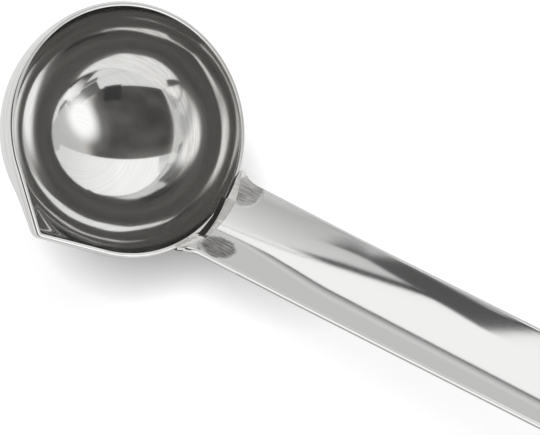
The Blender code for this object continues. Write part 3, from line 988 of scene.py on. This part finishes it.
# A dark stool beyond the handle's end, between two bearings from the ladle, and a bag in the room
STOOL_DISTANCE = 1.5
STOOL_RIGHT, STOOL_LEFT = math.radians(-26.0), math.radians(8.0)
stool_corners = [
    Vector((STOOL_DISTANCE * math.cos(turn), STOOL_DISTANCE * math.sin(turn), height))
    for turn, height in ((STOOL_RIGHT, 0.02), (STOOL_LEFT, 0.02), (STOOL_RIGHT, 0.33), (STOOL_LEFT, 0.3))]
card("dark_stool", stool_corners, strength=0.12)
card("dark_bag",
     facing(ROOM_DISTANCE - 0.01, ((0.17, -0.98), (0.56, -0.98), (0.15, -0.55), (0.5, -0.55))),
     strength=0.035)

# Beyond the handle's end the table is in the dark
ABOVE_TABLE = 2.0 * MM
dark_corners = [
    Vector((x, y, ABOVE_TABLE)) for x, y in ((0.2, -0.16), (1.6, -0.8), (0.2, 0.09), (1.6, 0.6))]
card("dark_table_end", dark_corners, strength=0.16)

# A window to the left of the camera, which only the handle's rounded edges reflect
window_corners = [
    Vector((x, y, height)) for height in (0.12, 2.4) for x, y in ((-1.15, -0.96), (-0.35, -1.45))]
card("side_window", window_corners, strength=1.1)

# The bare lamp, a long oval glow that fades at its rim. Its direction is measured from the bowl by
# tangents from the camera's axis, and its half widths are tangents too, at its own distance
LAMP_RIGHT, LAMP_DOWN = 1.025, 0.244
LAMP_DISTANCE = 0.3
LAMP_ACROSS = 0.194 * LAMP_DISTANCE
LAMP_ALONG = 0.334 * LAMP_DISTANCE
LAMP_LEAN = math.radians(28.0)
LAMP_STRENGTH = 1.12
# The card is this much wider than the lamp, for the glow round it
LAMP_CARD = 2.6
lamp_direction = (CAMERA_BACK + LAMP_RIGHT * CAMERA_RIGHT - LAMP_DOWN * CAMERA_UP).normalized()
seen_from = MOUTH_CENTRE - BOWL_RADIUS * (CAMERA_BACK + lamp_direction).normalized()
lamp_centre = seen_from + LAMP_DISTANCE * lamp_direction
lamp_right = (CAMERA_RIGHT - CAMERA_RIGHT.dot(lamp_direction) * lamp_direction).normalized()
lean = Matrix.Rotation(LAMP_LEAN, 3, lamp_direction)
half_across = (lean @ lamp_right) * LAMP_ACROSS * LAMP_CARD
half_along = (lean @ lamp_direction.cross(lamp_right)) * LAMP_ALONG * LAMP_CARD
lamp_corners = [lamp_centre + half_across * x + half_along * y for y in (-1, 1) for x in (-1, 1)]
tree, light = card("bare_lamp", lamp_corners, LAMP_STRENGTH)
lamp_place = add_node(tree, "ShaderNodeTexCoord")
oval = add_node(
    tree, "ShaderNodeMapping",
    {0: lamp_place.outputs["UV"], "Location": (-LAMP_CARD, -LAMP_CARD, 0.0),
     "Scale": (2.0 * LAMP_CARD, 2.0 * LAMP_CARD, 1.0)})
from_middle = add_node(tree, "ShaderNodeVectorMath", {0: oval.outputs[0]}, operation="LENGTH")
lamp_core = add_node(
    tree, "ShaderNodeMapRange",
    {"Value": from_middle.outputs["Value"], "From Min": 0.5, "From Max": 1.5, "To Min": 0.9, "To Max": 0.0},
    interpolation_type="SMOOTHSTEP")
lamp_glow = add_node(
    tree, "ShaderNodeMapRange",
    {"Value": from_middle.outputs["Value"], "From Min": 0.9, "From Max": 2.4, "To Min": 0.12, "To Max": 0.0},
    interpolation_type="SMOOTHSTEP")
lamp_fade = add_node(
    tree, "ShaderNodeMath", {0: lamp_core.outputs[0], 1: lamp_glow.outputs[0]}, operation="ADD")
clear = add_node(tree, "ShaderNodeBsdfTransparent")
mixed = add_node(
    tree, "ShaderNodeMixShader",
    {0: lamp_fade.outputs[0], 1: clear.outputs[0], 2: light.outputs[0]})
tree.links.new(mixed.outputs[0], tree.nodes["Material Output"].inputs["Surface"])

# The walls: pale grey, a little darker on the far left
world = bpy.data.worlds.new("studio_walls")
bpy.context.scene.world = world
world.use_nodes = True
tree = world.node_tree
direction = add_node(tree, "ShaderNodeTexCoord")
bearing = add_node(tree, "ShaderNodeSeparateXYZ", {0: direction.outputs["Generated"]})
wall_tone = add_node(
    tree, "ShaderNodeMapRange",
    {"Value": bearing.outputs[0], "From Min": -0.5, "From Max": 0.2, "To Min": 0.6, "To Max": 0.76})
tree.links.new(wall_tone.outputs[0], tree.nodes["Background"].inputs["Strength"])
tree.nodes["Background"].inputs["Color"].default_value = linear("#FFFFFF")

# The table: a white sheet. Part of its white is its own, so that it keeps the ladle's shadow. The
# steel mirrors only a share of that part, and that part is darkened with painted shade where the ladle is
# close
TABLE_SIZE = 60.0
OWN_WHITE = 0.64
MIRRORED_SHARE = 0.47
PAINTED_SHADE_REACH = 18.0 * MM
start_clean()
bpy.ops.mesh.primitive_plane_add(size=TABLE_SIZE)
table = bpy.context.active_object
table.name = "white_table"
table_white = bpy.data.materials.new("matt_white_table")
table_white.use_nodes = True
tree = table_white.node_tree
tree.nodes.remove(tree.nodes["Principled BSDF"])
rays = add_node(tree, "ShaderNodeLightPath")
seen = add_node(
    tree, "ShaderNodeMath", {0: rays.outputs["Is Camera Ray"], 1: rays.outputs["Is Transmission Ray"]},
    operation="MAXIMUM")
mirrored = add_node(
    tree, "ShaderNodeMath", {0: rays.outputs["Is Glossy Ray"], 1: MIRRORED_SHARE}, operation="MULTIPLY")
seen = add_node(
    tree, "ShaderNodeMath", {0: seen.outputs[0], 1: mirrored.outputs[0]}, operation="MAXIMUM")
own_light = add_node(tree, "ShaderNodeMath", {0: seen.outputs[0], 1: OWN_WHITE}, operation="MULTIPLY")
# Painted shade: ambient occlusion darkens the table's own white near the ladle, as a contact shadow
painted_contact_shade = add_node(tree, "ShaderNodeAmbientOcclusion", {"Distance": PAINTED_SHADE_REACH}, samples=8)
own_light = add_node(
    tree, "ShaderNodeMath", {0: own_light.outputs[0], 1: painted_contact_shade.outputs["AO"]}, operation="MULTIPLY")
sheet_white = add_node(tree, "ShaderNodeBsdfDiffuse", {"Color": linear("#C5C5C5")})
sheet_glow = add_node(tree, "ShaderNodeEmission", {"Strength": own_light.outputs[0]})
both = add_node(tree, "ShaderNodeAddShader", {0: sheet_white.outputs[0], 1: sheet_glow.outputs[0]})
tree.links.new(both.outputs[0], tree.nodes["Material Output"].inputs["Surface"])
table.data.materials.append(table_white)

start_clean()
